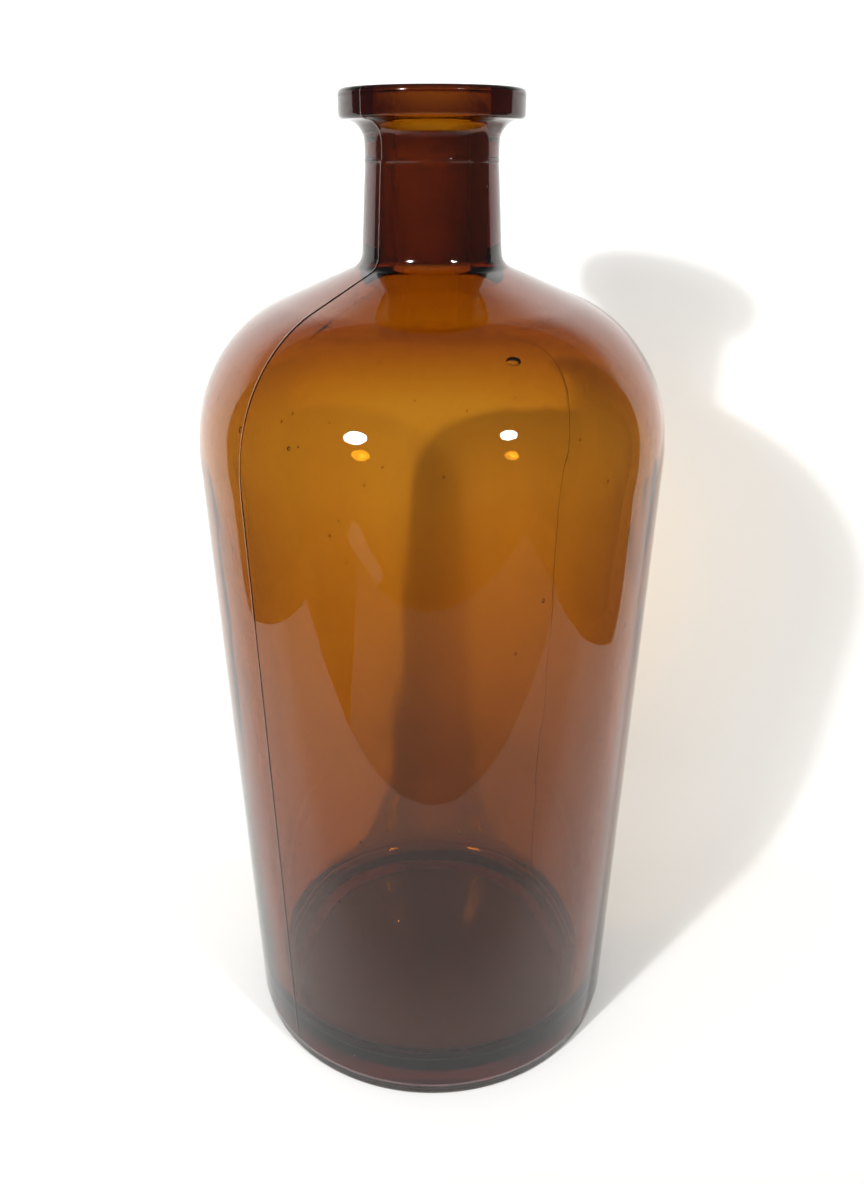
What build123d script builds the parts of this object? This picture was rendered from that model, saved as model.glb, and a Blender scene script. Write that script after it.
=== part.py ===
from build123d import *
import os
from math import cos, radians, sin, tan

# Amber reagent bottle of the 2.5 litre "Winchester" kind, without its stopper.
# It is one moulded piece of glass, divided here where the parts of its mould met:
#   base         heel, bearing ring, push-up and thick floor, made by the bottom plate
#   bottle_body  wall, shoulder and neck, made by the two halves of the body mould
#   neck_finish  flare and flanged lip with the mouth, made by the neck ring
# Frame: millimetres, +Z up, origin on the bottle's axis in the plane that it stands on.

# ---- driving dimensions ----
body_radius = 68.0          # outer radius of the straight wall
total_height = 298.5
parting_height = 5.5        # where the bottom plate met the body mould
ring_line_height = 283.1    # where the neck ring met the body mould
shoulder_height = 208.3     # end of the straight wall

# outside of the shoulder and the neck
upper_wall_arc = 64.0       # slow arc that leaves the wall
upper_wall_turn = 9.0       # degrees turned by that arc
shoulder_arc = 41.4         # main arc of the shoulder
shoulder_turn = 68.4        # degrees turned when the slope begins
neck_root_fillet = 4.6      # hollow between the slope and the neck
neck_root_radius = 18.9
neck_top_radius = 17.45
ring_ridge = 0.25           # height of the ridge at the ring line
ring_ridge_half_width = 0.5

# outside of the finish
lip_radius = 23.85
lip_thickness = 6.6
lip_top_edge = 1.3
lip_lower_edge = 1.2
flare_fillet = 5.0

# inside: the glass is thin at the shoulder's edge, and thicker towards the neck and the floor
inner_shoulder_arc = 37.1
inner_shoulder_turn = 69.0  # degrees turned when the inner slope begins
inner_shoulder_shift = 0.3  # from the middle of the outer shoulder arc, outwards
inner_shoulder_drop = 2.4   # and downwards
inner_wall_draft = 0.9      # degrees that the inside narrows towards the floor
floor_thickness = 8.5       # at the foot of the wall
floor_dome = 3.0            # how much higher the middle of the inner floor is
inner_heel_fillet = 13.0
bore_radius = 9.8           # mouth and neck bore
bore_mouth_edge = 1.5
bore_root_fillet = 6.0      # where the bore opens into the shoulder

# underside
base_draft = 0.7            # how much narrower the foot is than the wall
heel_fillet = 1.2
bearing_ring_width = 7.0
push_up_height = 3.0
push_up_flank = 9.0         # width of the sloping edge of the push-up
push_up_edge = 2.0


def polar(centre, radius, degrees):
    """The point at an angle from +X on a circle in the XZ plane."""
    return (
        centre[0] + radius * cos(radians(degrees)),
        centre[1] + radius * sin(radians(degrees)),
    )


# ---- outside of the shoulder, from the wall up to the neck ----
wall_top = (body_radius, shoulder_height)
upper_centre = (body_radius - upper_wall_arc, shoulder_height)
shoulder_start = polar(upper_centre, upper_wall_arc, upper_wall_turn)
shoulder_centre = polar(shoulder_start, -shoulder_arc, upper_wall_turn)
slope_start = polar(shoulder_centre, shoulder_arc, shoulder_turn)
root_centre_x = neck_root_radius + neck_root_fillet
slope_end_x = root_centre_x - neck_root_fillet * cos(radians(shoulder_turn))
slope_length = (slope_start[0] - slope_end_x) / sin(radians(shoulder_turn))
slope_end = polar(slope_start, slope_length, shoulder_turn + 90)
root_centre = polar(slope_end, neck_root_fillet, shoulder_turn)
neck_foot = (neck_root_radius, root_centre[1])
root_middle = polar(root_centre, -neck_root_fillet, shoulder_turn / 2)
ridge_foot = (neck_top_radius, ring_line_height - ring_ridge_half_width)
ridge_tip = (neck_top_radius + ring_ridge, ring_line_height)
ridge_top = (neck_top_radius, ring_line_height + ring_ridge_half_width)

# ---- inside, from the bore down to the floor ----
inner_centre = (
    shoulder_centre[0] + inner_shoulder_shift,
    shoulder_centre[1] - inner_shoulder_drop,
)
inner_slope_start = polar(inner_centre, inner_shoulder_arc, inner_shoulder_turn)
bore_root_centre_x = bore_radius + bore_root_fillet
inner_slope_end_x = bore_root_centre_x - bore_root_fillet * cos(radians(inner_shoulder_turn))
inner_slope_run = inner_slope_start[0] - inner_slope_end_x
inner_slope_length = inner_slope_run / sin(radians(inner_shoulder_turn))
inner_slope_end = polar(inner_slope_start, inner_slope_length, inner_shoulder_turn + 90)
bore_root_centre = polar(inner_slope_end, bore_root_fillet, inner_shoulder_turn)
bore_foot = (bore_radius, bore_root_centre[1])
bore_at_ring_line = (bore_radius, ring_line_height)
bore_root_middle = polar(bore_root_centre, -bore_root_fillet, inner_shoulder_turn / 2)
inner_wall_top = polar(inner_centre, inner_shoulder_arc, -inner_wall_draft)
heel_top_height = floor_thickness + inner_heel_fillet * (1 - sin(radians(inner_wall_draft)))
inner_narrowing = (inner_wall_top[1] - heel_top_height) * tan(radians(inner_wall_draft))
inner_heel_top = (inner_wall_top[0] - inner_narrowing, heel_top_height)
inner_heel_centre = polar(inner_heel_top, -inner_heel_fillet, -inner_wall_draft)


# ---- base: the part of the bottle below the parting line of the heel ----
with BuildPart() as base:
    foot_radius = body_radius - base_draft
    bearing_radius = foot_radius - heel_fillet - bearing_ring_width
    with BuildSketch(Plane.XZ) as base_section:
        with BuildLine():
            Polyline(
                (0, parting_height),
                (0, push_up_height),
                (bearing_radius - push_up_flank, push_up_height),
                (bearing_radius, 0),
                (foot_radius, 0),
                (body_radius, parting_height),
                close=True,
            )
        make_face()
        corners = base_section.vertices().group_by(Axis.Y)[0].sort_by(Axis.X)
        fillet(corners[-1], radius=heel_fillet)
        fillet(corners[0], radius=push_up_edge)
    revolve(axis=Axis.Z)
base.part.label = "base"

# ---- bottle_body: wall, shoulder and neck, hollow above the floor ----
with BuildPart() as bottle_body:
    with BuildSketch(Plane.XZ) as body_section:
        with BuildLine():
            Line((0, parting_height), (body_radius, parting_height))
            Line((body_radius, parting_height), wall_top)
            CenterArc(upper_centre, upper_wall_arc, 0, upper_wall_turn)
            CenterArc(
                shoulder_centre, shoulder_arc, upper_wall_turn, shoulder_turn - upper_wall_turn
            )
            Line(slope_start, slope_end)
            ThreePointArc(slope_end, root_middle, neck_foot)
            Polyline(neck_foot, ridge_foot, ridge_tip, bore_at_ring_line, bore_foot)
            ThreePointArc(bore_foot, bore_root_middle, inner_slope_end)
            Line(inner_slope_end, inner_slope_start)
            CenterArc(
                inner_centre,
                inner_shoulder_arc,
                -inner_wall_draft,
                inner_shoulder_turn + inner_wall_draft,
            )
            Line(inner_wall_top, inner_heel_top)
            CenterArc(inner_heel_centre, inner_heel_fillet, -90, 90 - inner_wall_draft)
            Spline(
                (inner_heel_centre[0], floor_thickness),
                (0, floor_thickness + floor_dome),
                tangents=((-1, 0), (-1, 0)),
            )
            Line((0, floor_thickness + floor_dome), (0, parting_height))
        make_face()
    revolve(axis=Axis.Z)
bottle_body.part.label = "bottle_body"

# ---- neck_finish: flare and flanged lip with the mouth of the bore ----
with BuildPart() as neck_finish:
    lip_bottom = total_height - lip_thickness
    flare_centre = (neck_top_radius + flare_fillet, lip_bottom - flare_fillet)
    with BuildSketch(Plane.XZ) as finish_section:
        with BuildLine():
            Polyline(bore_at_ring_line, ridge_tip, ridge_top, (neck_top_radius, flare_centre[1]))
            CenterArc(flare_centre, flare_fillet, 90, 90)
            Polyline(
                (flare_centre[0], lip_bottom),
                (lip_radius, lip_bottom),
                (lip_radius, total_height),
                (bore_radius, total_height),
                bore_at_ring_line,
            )
        make_face()
        rim = finish_section.vertices().sort_by(Axis.Y)
        top_corners = rim.group_by(Axis.Y)[-1].sort_by(Axis.X)
        lower_corner = rim.sort_by(Axis.X).group_by(Axis.X)[-1].sort_by(Axis.Y)[0]
        fillet(top_corners[-1], radius=lip_top_edge)
        fillet(top_corners[0], radius=bore_mouth_edge)
        fillet(lower_corner, radius=lip_lower_edge)
    revolve(axis=Axis.Z)
neck_finish.part.label = "neck_finish"

# ---- one STEP file for each region ----
os.makedirs("parts", exist_ok=True)
for region in (base, bottle_body, neck_finish):
    export_step(region.part, f"parts/{region.part.label}.step")
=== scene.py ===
from math import cos, exp, pi, radians, sin, tan
from random import Random

import bpy
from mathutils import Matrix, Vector, noise


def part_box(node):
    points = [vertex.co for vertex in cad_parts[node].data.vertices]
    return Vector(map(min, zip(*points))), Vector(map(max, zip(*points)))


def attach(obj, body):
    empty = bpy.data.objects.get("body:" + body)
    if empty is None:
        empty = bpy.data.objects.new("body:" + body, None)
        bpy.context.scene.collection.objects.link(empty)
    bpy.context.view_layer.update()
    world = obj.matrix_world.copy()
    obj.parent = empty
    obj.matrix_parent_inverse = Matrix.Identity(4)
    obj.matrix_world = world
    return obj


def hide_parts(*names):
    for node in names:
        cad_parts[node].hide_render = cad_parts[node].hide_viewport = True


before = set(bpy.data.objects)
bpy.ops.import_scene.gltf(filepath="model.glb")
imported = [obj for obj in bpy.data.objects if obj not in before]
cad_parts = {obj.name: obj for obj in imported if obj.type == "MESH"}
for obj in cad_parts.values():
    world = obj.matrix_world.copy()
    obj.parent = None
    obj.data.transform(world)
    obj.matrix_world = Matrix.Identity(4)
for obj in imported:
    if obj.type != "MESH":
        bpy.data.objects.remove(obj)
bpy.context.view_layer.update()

# Lengths are in millimetres, and become metres where vertices, nodes, lights and the camera are set.
MM = 0.001

# ---- the bottle's own sizes, read from the frame ----
BODY_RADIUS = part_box("bottle_body")[1].x / MM
PARTING_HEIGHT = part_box("base")[1].z / MM
RING_LINE_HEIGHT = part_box("bottle_body")[1].z / MM
TOTAL_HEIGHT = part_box("neck_finish")[1].z / MM
LIP_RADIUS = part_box("neck_finish")[1].x / MM

# ---- outside, as in the CAD model ----
SHOULDER_HEIGHT = 208.3
UPPER_WALL_ARC, UPPER_WALL_TURN = 64.0, 9.0
SHOULDER_ARC, SHOULDER_TURN = 41.4, 68.4
NECK_ROOT_FILLET, NECK_ROOT_RADIUS = 4.6, 18.9
NECK_TOP_RADIUS = 17.45
RING_RIDGE, RING_RIDGE_HALF_WIDTH = 0.25, 0.5
LIP_THICKNESS, LIP_TOP_EDGE, LIP_LOWER_EDGE = 6.6, 1.3, 1.2
FLARE_FILLET = 5.0

# ---- inside, as in the CAD model ----
INNER_SHOULDER_ARC, INNER_SHOULDER_TURN = 37.1, 69.0
INNER_SHOULDER_SHIFT, INNER_SHOULDER_DROP = 0.3, 2.4     # from the middle of the outside arc
INNER_WALL_DRAFT = 0.9      # degrees that the inside narrows towards the floor
FLOOR_THICKNESS, FLOOR_DOME = 8.5, 3.0
INNER_HEEL_FILLET = 13.0
BORE_RADIUS, BORE_MOUTH_EDGE, BORE_ROOT_FILLET = 9.8, 1.5, 6.0

# ---- underside: the CAD model leaves the push-up's top edge sharp ----
BASE_DRAFT, HEEL_FILLET = 0.7, 1.2
BEARING_RING_WIDTH = 7.0
PUSH_UP_HEIGHT, PUSH_UP_FLANK = 3.0, 9.0
PUSH_UP_EDGE, PUSH_UP_TOP_EDGE = 2.0, 6.0

# ---- fine edges of the outside, which the CAD model leaves out or sharp ----
PARTING_STEP = 0.12         # how far the base stands back from the wall
PARTING_STEP_EASE = 0.02    # rounding at the top of that step
PARTING_STEP_HALF = 0.05    # half of its height
RIDGE_FOOT_EDGE, RIDGE_TIP_EDGE = 0.25, 0.15

# ---- mould seams ----
SEAM_AZIMUTHS = (radians(-136.4), radians(43.6))
SEAM_HEIGHT, SEAM_WIDTH = 0.16, 0.24
SEAM_UNEVENNESS = 0.35      # share of the seam's height
SEAM_NOISE_SCALE, SEAM_NOISE_START = 0.07, 3.1
SEAM_JOG = 0.5              # sideways step of the seam at the ring line
SEAM_LEAST_RADIUS = 14.0    # nearer the axis, a seam keeps its angle and not its width

# ---- rows and columns of the glass mesh ----
SEAM_OFFSETS = (
    -3.0, -1.6, -0.8, -0.5, -0.34, -0.22, -0.11, 0.0, 0.11, 0.22, 0.34, 0.5, 0.8, 1.6, 3.0
)
COLUMNS_BETWEEN = 140       # steps from the last column of one seam to the first of the other
FLOOR_ROWS = 26
BUBBLE_ROWS, BUBBLE_COLUMNS = 8, 12

# ---- slow relief of the glass: depth, cells per millimetre, and where the noise starts ----
RIPPLE = (0.030, 0.045, (0, 0, 0))
FINE_RIPPLE = (0.010, 0.13, (7, 1, 4))
UNEVEN = (0.55, 0.022, (3, 8, 2))
FINE_UNEVEN = (0.14, 0.075, (1, 5, 9))
FINEST_UNEVEN = (0.04, 0.22, (6, 2, 7))
UNEVEN_SQUASH = 0.35        # scales the noise along the bottle, which draws the unevenness out
STREAK_DEPTH, STREAK_ACROSS, STREAK_ALONG = 0.04, 0.22, 0.012

# ---- where that relief changes: the height at which the change starts, and the height it takes ----
RIPPLE_STARTS = (3, 15)
RIPPLE_ENDS = (RING_LINE_HEIGHT - 4, 4)
UNEVEN_STARTS = (24, 55)
FINE_UNEVEN_STARTS = (90, 80)
NECK_STARTS = (215, 28)
NECK_CALM = 0.98            # share of the unevenness that the neck loses
THIN_SHOULDER = 0.35        # how much thinner the blown glass is round the shoulder
THIN_STARTS, THIN_ENDS = (180, 40), (218, 34)

# ---- bubbles ----
BLISTER_AZIMUTH, BLISTER_HEIGHT, BLISTER_DEPTH = radians(-68.4), 243.5, 1.7
BLISTER_HALVES = (1.9, 1.3, 0.42)
SEEDS = ((9, 40, 34), (40, 200, 46), (200, 250, 60), (264, 280, 8))     # lowest, highest, how many
SEED_SIZE, SEED_LEAST_SHARE = 0.36, 0.5
SEED_STRETCH = (1.0, 1.8)   # along the bottle
SEED_FLATTENING = 0.7       # through the wall
SEED_DEPTH = (1.0, 2.4)
SEED_SCATTER = 11           # starts the random draw

# ---- amber glass, fitted ----
GLASS_INDEX = 1.52
GLASS_ABSORPTION = (0.870, 0.737, 0.30, 1)
GLASS_DENSITY = 760.0       # per metre
SMEAR_SCALE, SMEAR_RANGE, SMEAR_ROUGHNESS = (70, 70, 30), (0.45, 0.75), 0.035
WAVE_SCALE = (130, 130, 60)

# ---- ground surface of the bore, fitted ----
GROUND_LOW, GROUND_HIGH = 258.5, 291.0
GROUND_GAP, GROUND_SKIN = 0.04, 0.08
GROUND_COLUMNS = 96
GROUND_ROUGHNESS = 0.9
GROUND_RINGS_SCALE = (40, 40, 1400)
# painted shade: the sleeve is opaque, and its dark brown tints stand in for the dimmed light that
# passes through the ground neck
GROUND_TINTS_AND_SHADE = ((0.38, 0.19, 0.17), (0.56, 0.29, 0.25))
GROUND_TINT_ROUGHNESS = (0.45, 0.7)
NOISE_MIDDLE = (0.3, 0.7)   # where most of a noise texture's values lie

# ---- white sheet ----
SHEET_LEFT = -428.0
SHEET_RIGHT_BACK, SHEET_RIGHT_FRONT = 383.0, 428.0
SHEET_FRONT = -243.0
SHEET_BACK = 58.0           # where the floor begins to turn up
SWEEP_RADIUS = 42.0
SWEEP_LEAN = 7.0            # degrees that the upright part leans back
SHEET_TOP = 500.0
SHEET_SHADES = ((0.86, 0.86, 0.85), (0.21, 0.21, 0.21))     # plain, painted shade
PAINTED_SHADE_UPWARDS = (345, 445)    # heights between which painted shade darkens the sheet
PAINTED_SHADOW_TO_PLAIN = (-140, -82)  # places along Y between which the painted shadow in front of the bottle fades out
# share of painted shadow at the sheet's front
FRONT_PAINTED_SHADOW = 0.36

# ---- mat and card in front of the sheet ----
MAT_CORNERS = ((-330, -485), (445, -485), (445, -243), (-200, -243))
MAT_SHADES = ((0.32, 0.32, 0.31), (0.36, 0.36, 0.35))
CARD_CORNERS = ((-425, -600), (-268, -530), (-205, -518), (-225, -487), (-330, -490), (-392, -495))
CARD_SHADES = ((0.84, 0.83, 0.82), (0.88, 0.87, 0.86))
TABLE_HEIGHT = -0.5
MOTTLE_SCALE = (5, 5, 5)

# ---- paper ----
PAPER_GLOSS = 0.1
PAPER_ROUGHNESS = (0.85, 0.95)
PAPER_GRAIN_SCALE = (900, 900, 900)

# ---- lamps: place, watts, width and height of the bowl, share of the light from the bowl ----
LAMP_LEFT = ((-361, -482, 522), 2.25, (120, 92), 0.35)
LAMP_RIGHT = ((352, -463, 530), 0.75, (92, 72), 0.5)
LAMP_TARGET = (0, 60, 200)
LAMP_SIZE, LAMP_SPREAD = 32.0, 120.0
BOWL_GAP = 5                # how far the bowl lies behind the lamp

# ---- light through the bottle: name, degrees from +Y towards +X, watts ----
GLOWS = (("glow_middle", 0, 0.021), ("glow_left", 37, 0.030), ("glow_right", -37, 0.008))
GLOW_COLOUR = (1.0, 0.62, 0.16)
GLOW_SIZE = (110, 190)
GLOW_GAP, GLOW_HEIGHT = 2, 105
GLOW_SPREAD, GLOW_DIP = 140.0, 10.0

# ---- room ----
ROOM_COLOUR = (1.0, 0.99, 0.97, 1)
ROOM_SEEN, ROOM_FILL = 0.12, 0.53

# ---- camera ----
EYE_DISTANCE, EYE_HEIGHT = 288.8, 285.4
EYE_PITCH = radians(31.57)
SENSOR, LENS = 36.0, 28.98
SHIFT_UP = 0.1213
NEAREST_SEEN = 10.0

# ---- how often light is followed through the glass ----
GLASS_BOUNCES, GLOSSY_BOUNCES, DIFFUSE_BOUNCES = 24, 12, 4


# ------------------------------------------------------------------ profile
def polar(centre, radius, angle):
    """The point at an angle, in degrees, on a circle in the profile's plane."""
    return centre[0] + radius * cos(radians(angle)), centre[1] + radius * sin(radians(angle))


def arc(centre, radius, start, end, step=0.8):
    """Points along an arc, from one angle to the other, in degrees."""
    count = max(4, int(abs(radians(end - start)) * radius / step))
    return [polar(centre, radius, start + (end - start) * i / count) for i in range(count + 1)]


def run(start, end, step=2.0):
    """Points along a straight line, without its ends."""
    length = ((end[0] - start[0]) ** 2 + (end[1] - start[1]) ** 2) ** 0.5
    count = max(1, int(length / step))
    return [
        (start[0] + (end[0] - start[0]) * i / count, start[1] + (end[1] - start[1]) * i / count)
        for i in range(1, count)
    ]


def rounded(before, corner, after, radius, step=0.25):
    """An arc of a given radius in place of a corner between two straight lines."""
    a = (Vector(before) - Vector(corner)).normalized()
    b = (Vector(after) - Vector(corner)).normalized()
    half = a.angle(b) / 2
    reach = radius / tan(half)
    centre = Vector(corner) + (a + b).normalized() * (radius / sin(half))
    start, end = Vector(corner) + a * reach, Vector(corner) + b * reach
    turn = (start - centre).angle_signed(end - centre)
    count = max(4, int(abs(turn) * radius / step))
    points = []
    for i in range(count + 1):
        t = -turn * i / count
        x, z = start - centre
        points.append((centre.x + x * cos(t) - z * sin(t), centre.y + x * sin(t) + z * cos(t)))
    return points


def smooth_step(x):
    """A smooth rise from 0 to 1 as x goes from 0 to 1."""
    x = min(1.0, max(0.0, x))
    return x * x * (3 - 2 * x)


def rise(height, change):
    """A smooth rise from 0 to 1 over a change's height, from its lowest point."""
    lowest, over = change
    return smooth_step((height - lowest) / over)


def upper_wall_centre():
    """The middle of the slow arc above the straight wall."""
    return BODY_RADIUS - UPPER_WALL_ARC, SHOULDER_HEIGHT


def shoulder_centre():
    """The middle of the outside shoulder's arc."""
    shoulder_start = polar(upper_wall_centre(), UPPER_WALL_ARC, UPPER_WALL_TURN)
    return polar(shoulder_start, -SHOULDER_ARC, UPPER_WALL_TURN)


def underside():
    """From the middle of the underside out and up to the heel's parting line."""
    foot = BODY_RADIUS - BASE_DRAFT
    bearing = foot - HEEL_FILLET - BEARING_RING_WIDTH
    push_up = (bearing - PUSH_UP_FLANK, PUSH_UP_HEIGHT)
    heel = rounded((bearing, 0), (foot, 0), (BODY_RADIUS, PARTING_HEIGHT), HEEL_FILLET, step=0.2)
    points = run((-2.0, PUSH_UP_HEIGHT), push_up, step=3.0)
    points = [p for p in points if p[0] > 1.0][:-1]
    points += rounded((0, PUSH_UP_HEIGHT), push_up, (bearing, 0), PUSH_UP_TOP_EDGE)
    points += rounded(push_up, (bearing, 0), (foot, 0), PUSH_UP_EDGE)
    points += run(points[-1], heel[0])
    points += heel
    step_foot = (BODY_RADIUS - PARTING_STEP, PARTING_HEIGHT - PARTING_STEP_HALF)
    step_top = (BODY_RADIUS - PARTING_STEP_EASE, PARTING_HEIGHT + PARTING_STEP_HALF)
    points += run(heel[-1], step_foot, step=0.7)
    return points + [step_foot, step_top]


def wall_and_shoulder():
    """From the heel's parting line up to the neck's root, with its hollow."""
    wall_foot = PARTING_HEIGHT + 2 * PARTING_STEP_HALF
    points = run((BODY_RADIUS, wall_foot), (BODY_RADIUS, PARTING_HEIGHT + 2), step=0.5)
    points += run((BODY_RADIUS, PARTING_HEIGHT + 1.5), (BODY_RADIUS, SHOULDER_HEIGHT))
    points += arc(upper_wall_centre(), UPPER_WALL_ARC, 0, UPPER_WALL_TURN)
    points += arc(shoulder_centre(), SHOULDER_ARC, UPPER_WALL_TURN, SHOULDER_TURN)[1:]
    root_x = NECK_ROOT_RADIUS + NECK_ROOT_FILLET
    slope_end_x = root_x - NECK_ROOT_FILLET * cos(radians(SHOULDER_TURN))
    length = (points[-1][0] - slope_end_x) / sin(radians(SHOULDER_TURN))
    slope_end = polar(points[-1], length, SHOULDER_TURN + 90)
    root_centre = polar(slope_end, NECK_ROOT_FILLET, SHOULDER_TURN)
    points += run(points[-1], slope_end, step=1.5)
    points += arc(root_centre, NECK_ROOT_FILLET, SHOULDER_TURN + 180, 180, step=0.3)
    return points


def neck_and_lip(neck_foot):
    """From the neck's foot up over the ring line's ridge, the flare and the lip's outer edges."""
    lip_bottom = TOTAL_HEIGHT - LIP_THICKNESS
    flare_centre = (NECK_TOP_RADIUS + FLARE_FILLET, lip_bottom - FLARE_FILLET)
    flare_foot = (NECK_TOP_RADIUS, flare_centre[1])
    below = (NECK_TOP_RADIUS, RING_LINE_HEIGHT - RING_RIDGE_HALF_WIDTH)
    above = (NECK_TOP_RADIUS, RING_LINE_HEIGHT + RING_RIDGE_HALF_WIDTH)
    ridge = (NECK_TOP_RADIUS + RING_RIDGE, RING_LINE_HEIGHT)
    lower, upper = (LIP_RADIUS, lip_bottom), (LIP_RADIUS, TOTAL_HEIGHT)
    points = run(neck_foot, below, step=1.0)
    points += rounded(points[-1], below, ridge, RIDGE_FOOT_EDGE, step=0.05)
    points += rounded(below, ridge, above, RIDGE_TIP_EDGE, step=0.05)
    points += rounded(ridge, above, flare_foot, RIDGE_FOOT_EDGE, step=0.05)
    points += run(points[-1], flare_foot, step=0.6)
    points += arc(flare_centre, FLARE_FILLET, 180, 90, step=0.3)
    points += rounded(points[-1], lower, upper, LIP_LOWER_EDGE, step=0.15)
    points += run(points[-1], (LIP_RADIUS, TOTAL_HEIGHT - LIP_TOP_EDGE), step=0.6)
    points += rounded(lower, upper, (BORE_RADIUS, TOTAL_HEIGHT), LIP_TOP_EDGE, step=0.15)
    return points


def outer_profile():
    """From the middle of the underside out, up the wall and over the lip's outer edges."""
    points = underside() + wall_and_shoulder()
    return points + neck_and_lip(points[-1])


def bore_and_shoulder(top):
    """From the lip's flat top down the bore and the inner slope to the top of the inner wall."""
    mouth = (BORE_RADIUS, TOTAL_HEIGHT)
    outer_centre = shoulder_centre()
    centre = (outer_centre[0] + INNER_SHOULDER_SHIFT, outer_centre[1] - INNER_SHOULDER_DROP)
    turn = INNER_SHOULDER_TURN
    slope_low = polar(centre, INNER_SHOULDER_ARC, turn)
    root_x = BORE_RADIUS + BORE_ROOT_FILLET
    slope_high_x = root_x - BORE_ROOT_FILLET * cos(radians(turn))
    length = (slope_low[0] - slope_high_x) / sin(radians(turn))
    slope_high = polar(slope_low, length, turn + 90)
    root_centre = polar(slope_high, BORE_ROOT_FILLET, turn)
    points = run(top, (BORE_RADIUS + BORE_MOUTH_EDGE, TOTAL_HEIGHT), step=1.0)
    points += rounded(top, mouth, (BORE_RADIUS, SHOULDER_HEIGHT), BORE_MOUTH_EDGE, step=0.2)
    points += run(points[-1], (BORE_RADIUS, root_centre[1]), step=1.5)
    points += arc(root_centre, BORE_ROOT_FILLET, 180, turn + 180, step=0.5)
    points += run(points[-1], slope_low, step=1.5)
    points += arc(centre, INNER_SHOULDER_ARC, turn, -INNER_WALL_DRAFT, step=1.2)
    return points


def inner_wall_and_floor(wall_top):
    """Down the inner wall, round the inner heel and across the floor towards its middle."""
    heel_z = FLOOR_THICKNESS + INNER_HEEL_FILLET * (1 - sin(radians(INNER_WALL_DRAFT)))
    heel_top = (wall_top[0] - (wall_top[1] - heel_z) * tan(radians(INNER_WALL_DRAFT)), heel_z)
    heel_centre = polar(heel_top, -INNER_HEEL_FILLET, -INNER_WALL_DRAFT)
    points = run(wall_top, heel_top)
    points += arc(heel_centre, INNER_HEEL_FILLET, -INNER_WALL_DRAFT, -90, step=0.6)
    for i in range(1, FLOOR_ROWS):
        t = i / FLOOR_ROWS
        points.append((heel_centre[0] * (1 - t), FLOOR_THICKNESS + FLOOR_DOME * smooth_step(t)))
    return points


def inner_profile(top):
    """From the lip's flat top into the bore, down the inside and across the floor."""
    points = bore_and_shoulder(top)
    return points + inner_wall_and_floor(points[-1])


def profile_normals(points):
    """The direction out of the glass at each point of the profile: outwards and upwards."""
    normals = []
    for i in range(len(points)):
        a = Vector(points[max(i - 1, 0)])
        b = Vector(points[min(i + 1, len(points) - 1)])
        along = (b - a).normalized()
        normals.append((along.y, -along.x))
    return normals


# ------------------------------------------------------------------ relief
def swell(place, layer):
    """The height of one layer of slow noise."""
    depth, scale, start = layer
    return depth * noise.noise(place * scale + Vector(start))


def seam_relief(radius, height, azimuth):
    """Height of the mould seam above the outside."""
    if height < PARTING_HEIGHT + 0.2 or height > TOTAL_HEIGHT - 0.5 * LIP_TOP_EDGE:
        return 0.0
    jog = SEAM_JOG if height > RING_LINE_HEIGHT else 0.0
    relief = 0.0
    for seam in SEAM_AZIMUTHS:
        turn = (azimuth - seam + pi) % (2 * pi) - pi
        away = turn * max(radius, SEAM_LEAST_RADIUS) - jog
        if abs(away) < 4 * SEAM_WIDTH:
            noise_place = (seam, height * SEAM_NOISE_SCALE, SEAM_NOISE_START)
            tall = SEAM_HEIGHT * (1 + SEAM_UNEVENNESS * noise.noise(noise_place))
            relief += tall * exp(-((away / SEAM_WIDTH) ** 2))
    return relief


def outer_relief(place, radius, height, azimuth):
    """Moulded surface: slow ripples left by the mould, and the seams."""
    ripple = swell(place, RIPPLE) + swell(place, FINE_RIPPLE)
    rippled = rise(height, RIPPLE_STARTS) * (1 - rise(height, RIPPLE_ENDS))
    return ripple * rippled + seam_relief(radius, height, azimuth)


def inner_relief(place, height):
    """Blown surface: the wall's thickness varies slowly round and along the bottle."""
    stretched = Vector((place.x, place.y, place.z * UNEVEN_SQUASH))
    fine = swell(stretched, FINE_UNEVEN) + swell(stretched, FINEST_UNEVEN)
    streak_place = (place.x * STREAK_ACROSS, place.y * STREAK_ACROSS, place.z * STREAK_ALONG)
    streaks = STREAK_DEPTH * noise.noise(streak_place)
    uneven = swell(stretched, UNEVEN) + (fine + streaks) * rise(height, FINE_UNEVEN_STARTS)
    uneven *= rise(height, UNEVEN_STARTS) * (1 - NECK_CALM * rise(height, NECK_STARTS))
    return uneven - THIN_SHOULDER * rise(height, THIN_STARTS) * (1 - rise(height, THIN_ENDS))


# ------------------------------------------------------------------ bubbles
def add_cavity(vertices, faces, centre, axes, halves):
    """A closed ellipsoid that faces inwards: a bubble in the glass."""
    first = len(vertices)
    for i in range(BUBBLE_ROWS + 1):
        polar_angle = pi * i / BUBBLE_ROWS
        for j in range(1 if i in (0, BUBBLE_ROWS) else BUBBLE_COLUMNS):
            turn = 2 * pi * j / BUBBLE_COLUMNS
            parts = (sin(polar_angle) * cos(turn), sin(polar_angle) * sin(turn), cos(polar_angle))
            offset = sum((a * h * p for a, h, p in zip(axes, halves, parts)), Vector((0, 0, 0)))
            vertices.append((centre + offset) * MM)
    last = len(vertices) - 1
    for j in range(BUBBLE_COLUMNS):
        k = (j + 1) % BUBBLE_COLUMNS
        faces.append((first, first + 1 + k, first + 1 + j))
        faces.append((last, last - BUBBLE_COLUMNS + j, last - BUBBLE_COLUMNS + k))
        for i in range(BUBBLE_ROWS - 2):
            a = first + 1 + i * BUBBLE_COLUMNS
            b = a + BUBBLE_COLUMNS
            faces.append((a + j, a + k, b + k, b + j))


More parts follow.
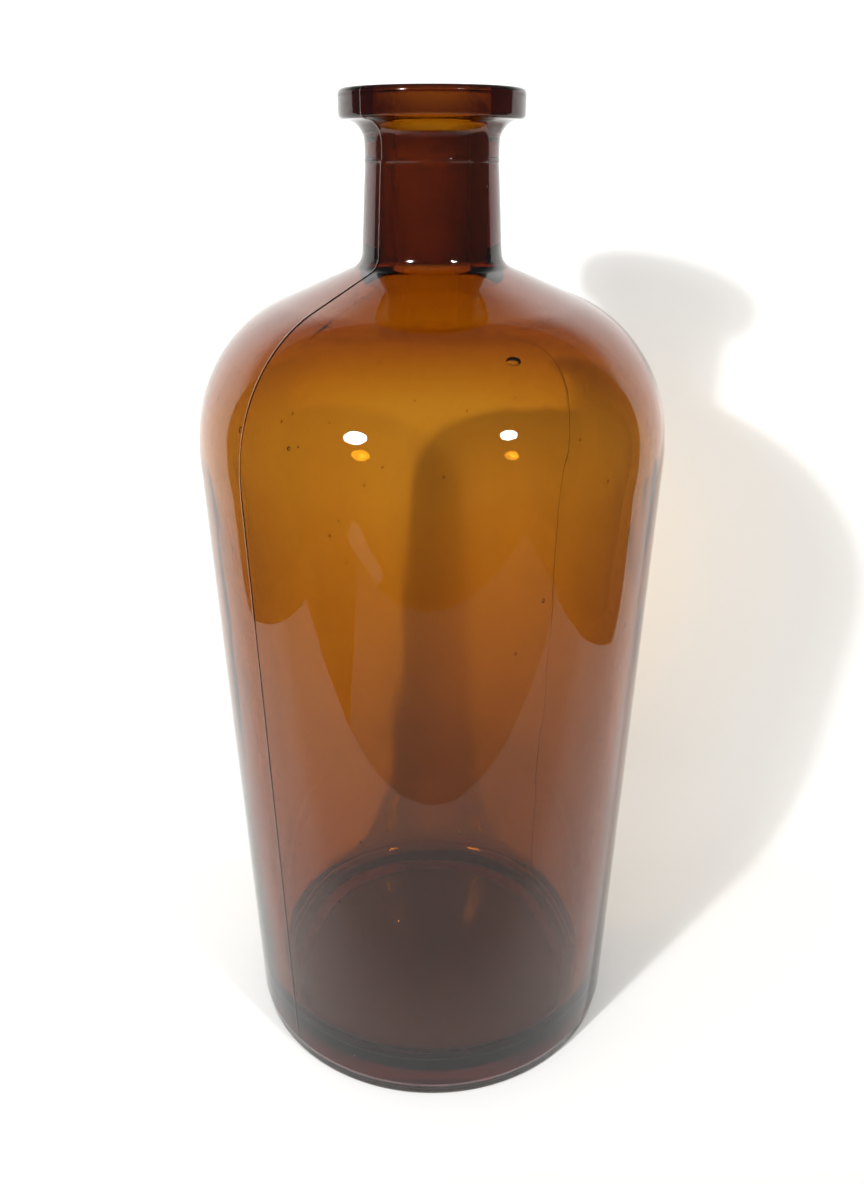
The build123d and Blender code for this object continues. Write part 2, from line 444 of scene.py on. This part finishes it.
def add_bubble(vertices, faces, outer, normals, azimuth, height, depth, halves):
    """A bubble at a depth below the outside, flattened along the wall."""
    wall = [i for i in range(len(outer)) if outer[i][1] > PARTING_HEIGHT + 1]
    nearest = min(wall, key=lambda i: abs(outer[i][1] - height))
    direction = Vector((cos(azimuth), sin(azimuth), 0))
    across = Vector((-sin(azimuth), cos(azimuth), 0))
    out = direction * normals[nearest][0] + Vector((0, 0, normals[nearest][1]))
    along = out.cross(across)
    centre = direction * outer[nearest][0] + Vector((0, 0, outer[nearest][1])) - out * depth
    add_cavity(vertices, faces, centre, (across, along, out), halves)


def add_bubbles(vertices, faces, outer, normals):
    """One blister at the front of the shoulder, and small seeds scattered through the glass."""
    blister = (BLISTER_AZIMUTH, BLISTER_HEIGHT, BLISTER_DEPTH, BLISTER_HALVES)
    add_bubble(vertices, faces, outer, normals, *blister)
    dice = Random(SEED_SCATTER)
    for low, high, count in SEEDS:
        for _ in range(count):
            size = SEED_SIZE * (SEED_LEAST_SHARE + dice.random() ** 2)
            azimuth = dice.uniform(-pi, pi)
            height = dice.uniform(low, high)
            halves = (size, size * dice.uniform(*SEED_STRETCH), size * SEED_FLATTENING)
            depth = dice.uniform(*SEED_DEPTH)
            add_bubble(vertices, faces, outer, normals, azimuth, height, depth, halves)


# ------------------------------------------------------------------ meshes
def make_mesh(name, vertices, faces, material):
    """A smooth-shaded mesh of one material, from vertices in metres."""
    mesh = bpy.data.meshes.new(name)
    mesh.from_pydata(vertices, [], faces)
    mesh.update()
    mesh.polygons.foreach_set("use_smooth", [True] * len(mesh.polygons))
    mesh.materials.append(material)
    return mesh


def add_object(name, data):
    """An object in the scene, from a mesh, a light or a camera."""
    thing = bpy.data.objects.new(name, data)
    bpy.context.scene.collection.objects.link(thing)
    return thing


def ring_azimuths(radius):
    """Azimuths of one ring: close together across each seam, evenly spaced between them."""
    shrink = 1 / max(radius, SEAM_LEAST_RADIUS)
    groups = [[a + d * shrink for d in SEAM_OFFSETS] for a in SEAM_AZIMUTHS]
    azimuths = []
    for this, following in ((groups[0], groups[1]), (groups[1], groups[0])):
        azimuths += this
        gap = (following[0] - this[-1]) % (2 * pi)
        azimuths += [this[-1] + gap * i / COLUMNS_BETWEEN for i in range(1, COLUMNS_BETWEEN)]
    return azimuths


def glass_rings(points, normals, outer_count):
    """The profile turned round the axis, ring by ring, with the relief of each side of the glass."""
    vertices = []
    for i, ((radius, height), (out, up)) in enumerate(zip(points, normals)):
        for azimuth in ring_azimuths(radius):
            direction = Vector((cos(azimuth), sin(azimuth), 0))
            place = direction * radius + Vector((0, 0, height))
            if i < outer_count:
                relief = outer_relief(place, radius, height, azimuth)
            else:
                relief = inner_relief(place, height)
            place += (direction * out + Vector((0, 0, up))) * relief
            vertices.append(place * MM)
    return vertices


def join_rings(ring_count, columns):
    """Faces between each ring and the next one."""
    faces = []
    for i in range(ring_count - 1):
        low, high = i * columns, (i + 1) * columns
        for j in range(columns):
            k = (j + 1) % columns
            faces.append((low + j, low + k, high + k, high + j))
    return faces


def close_middles(vertices, faces, columns):
    """Close the first ring at the push-up's middle and the last ring at the floor's middle."""
    last = len(vertices) - columns
    bottom, floor = len(vertices), len(vertices) + 1
    vertices.append(Vector((0, 0, PUSH_UP_HEIGHT)) * MM)
    vertices.append(Vector((0, 0, FLOOR_THICKNESS + FLOOR_DOME)) * MM)
    for j in range(columns):
        k = (j + 1) % columns
        faces.append((bottom, k, j))
        faces.append((floor, last + j, last + k))


def glass_mesh():
    """The whole bottle as one closed surface, with closed bubbles inside the glass."""
    outer = outer_profile()
    points = outer + inner_profile(outer[-1])
    normals = profile_normals(points)
    vertices = glass_rings(points, normals, len(outer))
    columns = len(vertices) // len(points)
    faces = join_rings(len(points), columns)
    close_middles(vertices, faces, columns)
    add_bubbles(vertices, faces, outer, normals)
    return make_mesh("glass", vertices, faces, amber_glass())


def ground_mesh():
    """The ground surface of the bore, as a thin closed sleeve just inside it."""
    outside = BORE_RADIUS - GROUND_GAP
    inside = outside - GROUND_SKIN
    corners = [(outside, GROUND_LOW), (outside, GROUND_HIGH)]
    corners += [(inside, GROUND_HIGH), (inside, GROUND_LOW)]
    loop = []
    for corner, following in zip(corners, corners[1:] + corners[:1]):
        loop += [corner] + run(corner, following, step=0.8)
    turns = [2 * pi * j / GROUND_COLUMNS for j in range(GROUND_COLUMNS)]
    vertices = [Vector((r * cos(turn), r * sin(turn), z)) * MM for r, z in loop for turn in turns]
    faces = join_rings(len(loop), GROUND_COLUMNS)
    last = (len(loop) - 1) * GROUND_COLUMNS
    for j in range(GROUND_COLUMNS):
        k = (j + 1) % GROUND_COLUMNS
        faces.append((last + j, last + k, k, j))
    return make_mesh("ground_bore", vertices, faces, ground_glass_and_shade())


# ------------------------------------------------------------------ nodes
def new_material(name):
    """A material, its nodes, its links and its Principled shader."""
    material = bpy.data.materials.new(name)
    material.use_nodes = True
    nodes = material.node_tree.nodes
    return material, nodes, material.node_tree.links, nodes["Principled BSDF"]


def object_place(nodes):
    """The place on the object itself, in metres."""
    return nodes.new("ShaderNodeTexCoord").outputs["Object"]


def math_node(nodes, links, operation, *values):
    """A Math node: numbers go on its sockets, and outputs are linked to them."""
    node = nodes.new("ShaderNodeMath")
    node.operation = operation
    for socket, value in zip(node.inputs, values):
        if isinstance(value, (int, float)):
            socket.default_value = value
        else:
            links.new(value, socket)
    return node.outputs[0]


def multiply(nodes, links, *values):
    """The product of two values."""
    return math_node(nodes, links, "MULTIPLY", *values)


def map_range(nodes, links, value, between, to):
    """A smooth change from one number to another while the value is between two limits."""
    node = nodes.new("ShaderNodeMapRange")
    node.interpolation_type = "SMOOTHSTEP"
    links.new(value, node.inputs["Value"])
    node.inputs["From Min"].default_value, node.inputs["From Max"].default_value = between
    node.inputs["To Min"].default_value, node.inputs["To Max"].default_value = to
    return node.outputs["Result"]


def map_length(nodes, links, length, between, to):
    """The same, for a length in metres and limits in millimetres."""
    low, high = between
    return map_range(nodes, links, length, (low * MM, high * MM), to)


def noise_texture(nodes, links, place, scale, detail):
    """Noise whose scale, in cells per metre, is set along each axis."""
    mapping = nodes.new("ShaderNodeMapping")
    mapping.inputs["Scale"].default_value = scale
    links.new(place, mapping.inputs["Vector"])
    texture = nodes.new("ShaderNodeTexNoise")
    texture.inputs["Scale"].default_value = 1.0
    texture.inputs["Detail"].default_value = detail
    links.new(mapping.outputs["Vector"], texture.inputs["Vector"])
    return texture.outputs["Fac"]


def colour_between(nodes, links, share, colours, positions=(0.0, 1.0)):
    """A colour that goes from the first to the second as the share passes the two positions."""
    ramp = nodes.new("ShaderNodeValToRGB")
    for i, (colour, position) in enumerate(zip(colours, positions)):
        ramp.color_ramp.elements[i].position = position
        ramp.color_ramp.elements[i].color = (*colour, 1)
    links.new(share, ramp.inputs["Fac"])
    return ramp.outputs["Color"]


def add_bump(nodes, links, shader, height, strength, distance):
    """Bump whose distance is in millimetres."""
    bump = nodes.new("ShaderNodeBump")
    bump.inputs["Strength"].default_value = strength
    bump.inputs["Distance"].default_value = distance * MM
    links.new(height, bump.inputs["Height"])
    links.new(bump.outputs["Normal"], shader.inputs["Normal"])


# ------------------------------------------------------------------ glass
def bore_mask(nodes, links, place):
    """1 on the ground surface of the bore and 0 on the rest of the glass."""
    parts = nodes.new("ShaderNodeSeparateXYZ")
    links.new(place, parts.inputs[0])
    x, y, z = parts.outputs
    squares = math_node(nodes, links, "ADD", multiply(nodes, links, x, x), multiply(nodes, links, y, y))
    across = math_node(nodes, links, "SQRT", squares)
    bore_edge = (BORE_RADIUS + 0.5, BORE_RADIUS + 1.0)
    rim_edge = (TOTAL_HEIGHT - 1.5, TOTAL_HEIGHT - 1.0)
    near_axis = map_length(nodes, links, across, bore_edge, (1.0, 0.0))
    above_root = map_length(nodes, links, z, (GROUND_LOW - 2, GROUND_LOW), (0.0, 1.0))
    below_rim = map_length(nodes, links, z, rim_edge, (1.0, 0.0))
    return multiply(nodes, links, multiply(nodes, links, near_axis, above_root), below_rim)


def amber_glass():
    """Fire-polished glass with a faint waviness and faint smears, and a ground bore."""
    material, nodes, links, shader = new_material("amber_glass")
    shader.inputs["Base Color"].default_value = (1, 1, 1, 1)
    shader.inputs["Transmission Weight"].default_value = 1.0
    shader.inputs["IOR"].default_value = GLASS_INDEX
    body = nodes.new("ShaderNodeVolumeAbsorption")
    body.inputs["Color"].default_value = GLASS_ABSORPTION
    body.inputs["Density"].default_value = GLASS_DENSITY
    links.new(body.outputs["Volume"], nodes["Material Output"].inputs["Volume"])
    place = object_place(nodes)
    smears = noise_texture(nodes, links, place, SMEAR_SCALE, detail=4.0)
    polished = map_range(nodes, links, smears, SMEAR_RANGE, (0.0, SMEAR_ROUGHNESS))
    ground = multiply(nodes, links, bore_mask(nodes, links, place), GROUND_ROUGHNESS)
    links.new(math_node(nodes, links, "ADD", polished, ground), shader.inputs["Roughness"])
    waves = noise_texture(nodes, links, place, WAVE_SCALE, detail=2.0)
    add_bump(nodes, links, shader, waves, strength=0.12, distance=0.08)
    return material


def ground_glass_and_shade():
    """Matt brown with fine rings, which stands for the look of ground glass through the neck: opaque
    painted shade in place of the dimmed light that passes through it.
    """
    material, nodes, links, shader = new_material("ground_glass_and_shade")
    place = object_place(nodes)
    rings = noise_texture(nodes, links, place, GROUND_RINGS_SCALE, detail=3.0)
    tint = colour_between(nodes, links, rings, GROUND_TINTS_AND_SHADE, NOISE_MIDDLE)
    roughness = map_range(nodes, links, rings, NOISE_MIDDLE, GROUND_TINT_ROUGHNESS)
    links.new(tint, shader.inputs["Base Color"])
    links.new(roughness, shader.inputs["Roughness"])
    add_bump(nodes, links, shader, rings, strength=0.3, distance=0.05)
    return material


def make_glass():
    """The bottle's glass, which stands for all three CAD solids."""
    glass = add_object("glass", glass_mesh())
    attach(glass, "root")
    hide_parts("base", "bottle_body", "neck_finish")


def make_ground_bore():
    """The sleeve that shows the bore's ground surface."""
    sleeve = add_object("ground_bore", ground_mesh())
    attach(sleeve, "root")


# ------------------------------------------------------------------ stage
def sheet_path():
    """The paper's line from front to top, seen from the side."""
    path = [(y, 0.0) for y in (SHEET_FRONT, -100, 0)]
    path += arc((SHEET_BACK, SWEEP_RADIUS), SWEEP_RADIUS, -90, -SWEEP_LEAN, step=1.5)
    y, z = path[-1]
    rest = SHEET_TOP - z
    path += [(y + rest * t * tan(radians(SWEEP_LEAN)), z + rest * t) for t in (0.25, 0.5, 0.75, 1.0)]
    return path


def sheet_painted_shade(nodes, links, place):
    """Painted shade: a soft painted shadow on the sheet in front of the bottle, and painted shade that
    darkens it fully above the bottle.
    """
    parts = nodes.new("ShaderNodeSeparateXYZ")
    links.new(place, parts.inputs[0])
    top = map_length(nodes, links, parts.outputs["Z"], PAINTED_SHADE_UPWARDS, (0.0, 1.0))
    front = map_length(nodes, links, parts.outputs["Y"], PAINTED_SHADOW_TO_PLAIN, (FRONT_PAINTED_SHADOW, 0.0))
    return math_node(nodes, links, "MAXIMUM", top, front)


def mottle(nodes, links, place):
    """A slow change between a paper's two shades."""
    return noise_texture(nodes, links, place, MOTTLE_SCALE, detail=1.0)


def paper(name, shades, shading):
    """Matt paper that shows from its front only, so that it doesn't hide the bottle from behind."""
    material, nodes, links, shader = new_material(name)
    shader.inputs["Specular IOR Level"].default_value = PAPER_GLOSS
    place = object_place(nodes)
    tint = colour_between(nodes, links, shading(nodes, links, place), shades)
    links.new(tint, shader.inputs["Base Color"])
    grain = noise_texture(nodes, links, place, PAPER_GRAIN_SCALE, detail=2.0)
    roughness = map_range(nodes, links, grain, NOISE_MIDDLE, PAPER_ROUGHNESS)
    links.new(roughness, shader.inputs["Roughness"])
    add_bump(nodes, links, shader, grain, strength=0.1, distance=0.05)
    clear = nodes.new("ShaderNodeBsdfTransparent")
    side = nodes.new("ShaderNodeNewGeometry")
    mix = nodes.new("ShaderNodeMixShader")
    links.new(side.outputs["Backfacing"], mix.inputs[0])
    links.new(shader.outputs[0], mix.inputs[1])
    links.new(clear.outputs[0], mix.inputs[2])
    links.new(mix.outputs[0], nodes["Material Output"].inputs["Surface"])
    return material


def make_stage_piece(name, vertices, faces, material):
    """A piece of the stage, from vertices in millimetres."""
    piece = add_object(name, make_mesh(name, [Vector(v) * MM for v in vertices], faces, material))


def make_sheet():
    """White paper: the floor, turned up behind the bottle."""
    path = sheet_path()
    vertices = []
    for y, z in path:
        share = min(1.0, (y - SHEET_FRONT) / (SHEET_BACK - SHEET_FRONT))
        right = SHEET_RIGHT_FRONT + (SHEET_RIGHT_BACK - SHEET_RIGHT_FRONT) * share
        vertices += [(SHEET_LEFT, y, z), (0, y, z), (right, y, z)]
    faces = []
    for i in range(len(path) - 1):
        for a in (i * 3, i * 3 + 1):
            faces.append((a, a + 1, a + 4, a + 3))
    # the sheet's darker shade is painted: a painted shadow in front of the bottle and painted shade
    # above it
    make_stage_piece("sheet", vertices, faces, paper("white_paper", SHEET_SHADES, sheet_painted_shade))


def make_flat_piece(name, corners, material):
    """A flat piece that lies in front of the sheet, from its corners."""
    make_stage_piece(name, [(x, y, TABLE_HEIGHT) for x, y in corners], [range(len(corners))], material)


def make_front_of_table():
    """A grey mat in front of the sheet, and a white card beyond its left corner."""
    make_flat_piece("mat", MAT_CORNERS, paper("grey_paper", MAT_SHADES, mottle))
    make_flat_piece("card", CARD_CORNERS, paper("card", CARD_SHADES, mottle))


# ------------------------------------------------------------------ lights
def area_light(name, shape, size, power, spread):
    """An area light: width and height in millimetres, watts, and spread in degrees."""
    light = bpy.data.lights.new(name, "AREA")
    light.shape = shape
    light.size, light.size_y = size[0] * MM, size[1] * MM
    light.energy = power
    light.spread = radians(spread)
    return light


def aim(thing, direction):
    """Turn a light to shine in a direction."""
    thing.rotation_euler = direction.to_track_quat("-Z", "Y").to_euler()


def make_lamp(name, place, size, power):
    """An elliptical lamp that shines at the lamps' target."""
    lamp = add_object(name, area_light(name, "ELLIPSE", size, power, LAMP_SPREAD))
    lamp.location = Vector(place) * MM
    aim(lamp, Vector(LAMP_TARGET) - Vector(place))


def make_reflector_lamp(name, place, power, bowl, bowl_share):
    """A small bright lamp in a wide, dimmer reflector."""
    make_lamp(name, place, (LAMP_SIZE, LAMP_SIZE), power * (1 - bowl_share))
    behind = Vector(place) + (Vector(place) - Vector(LAMP_TARGET)).normalized() * BOWL_GAP
    make_lamp(name + "_bowl", behind, bowl, power * bowl_share)


def make_glow(name, bearing, power):
    """Amber light that stands for what a lamp sends through the bottle and on to the paper."""
    light = area_light(name, "RECTANGLE", GLOW_SIZE, power, GLOW_SPREAD)
    light.color = GLOW_COLOUR
    glow = add_object(name, light)
    turn = radians(bearing)
    outwards = Vector((sin(turn), cos(turn), 0))
    glow.location = outwards * (BODY_RADIUS + GLOW_GAP) * MM + Vector((0, 0, GLOW_HEIGHT * MM))
    aim(glow, Vector((sin(turn), cos(turn), -tan(radians(GLOW_DIP)))))
    glow.visible_camera = glow.visible_glossy = glow.visible_transmission = False


def make_lights():
    """The light through the bottle, and the two lamps."""
    for name, bearing, power in GLOWS:
        make_glow(name, bearing, power)
    make_reflector_lamp("lamp_left", *LAMP_LEFT)
    make_reflector_lamp("lamp_right", *LAMP_RIGHT)


def make_room():
    """A dim grey room, which fills the paper's shadows more than it shows in the glass."""
    world = bpy.data.worlds.new("room")
    world.use_nodes = True
    nodes, links = world.node_tree.nodes, world.node_tree.links
    background = nodes["Background"]
    background.inputs["Color"].default_value = ROOM_COLOUR
    diffuse = nodes.new("ShaderNodeLightPath").outputs["Is Diffuse Ray"]
    strength = math_node(nodes, links, "MULTIPLY_ADD", diffuse, ROOM_FILL, ROOM_SEEN)
    links.new(strength, background.inputs["Strength"])
    bpy.context.scene.world = world


# ------------------------------------------------------------------ camera
def make_camera():
    """The camera in front of the bottle, level with the top of its neck and looking down."""
    data = bpy.data.cameras.new("camera")
    data.sensor_width = SENSOR
    data.lens = LENS
    data.shift_y = SHIFT_UP
    data.clip_start = NEAREST_SEEN * MM
    camera = add_object("camera", data)
    camera.location = Vector((0, -EYE_DISTANCE, EYE_HEIGHT)) * MM
    camera.rotation_euler = (pi / 2 - EYE_PITCH, 0, 0)
    bpy.context.scene.camera = camera


def set_light_paths():
    """Plain colours, and enough bounces for light to pass through both walls."""
    scene = bpy.context.scene
    scene.view_settings.view_transform = "Standard"
    scene.cycles.max_bounces = GLASS_BOUNCES
    scene.cycles.transmission_bounces = GLASS_BOUNCES
    scene.cycles.glossy_bounces = GLOSSY_BOUNCES
    scene.cycles.diffuse_bounces = DIFFUSE_BOUNCES


make_glass()
make_ground_bore()
make_sheet()
make_front_of_table()
make_lights()
make_room()
make_camera()
set_light_paths()
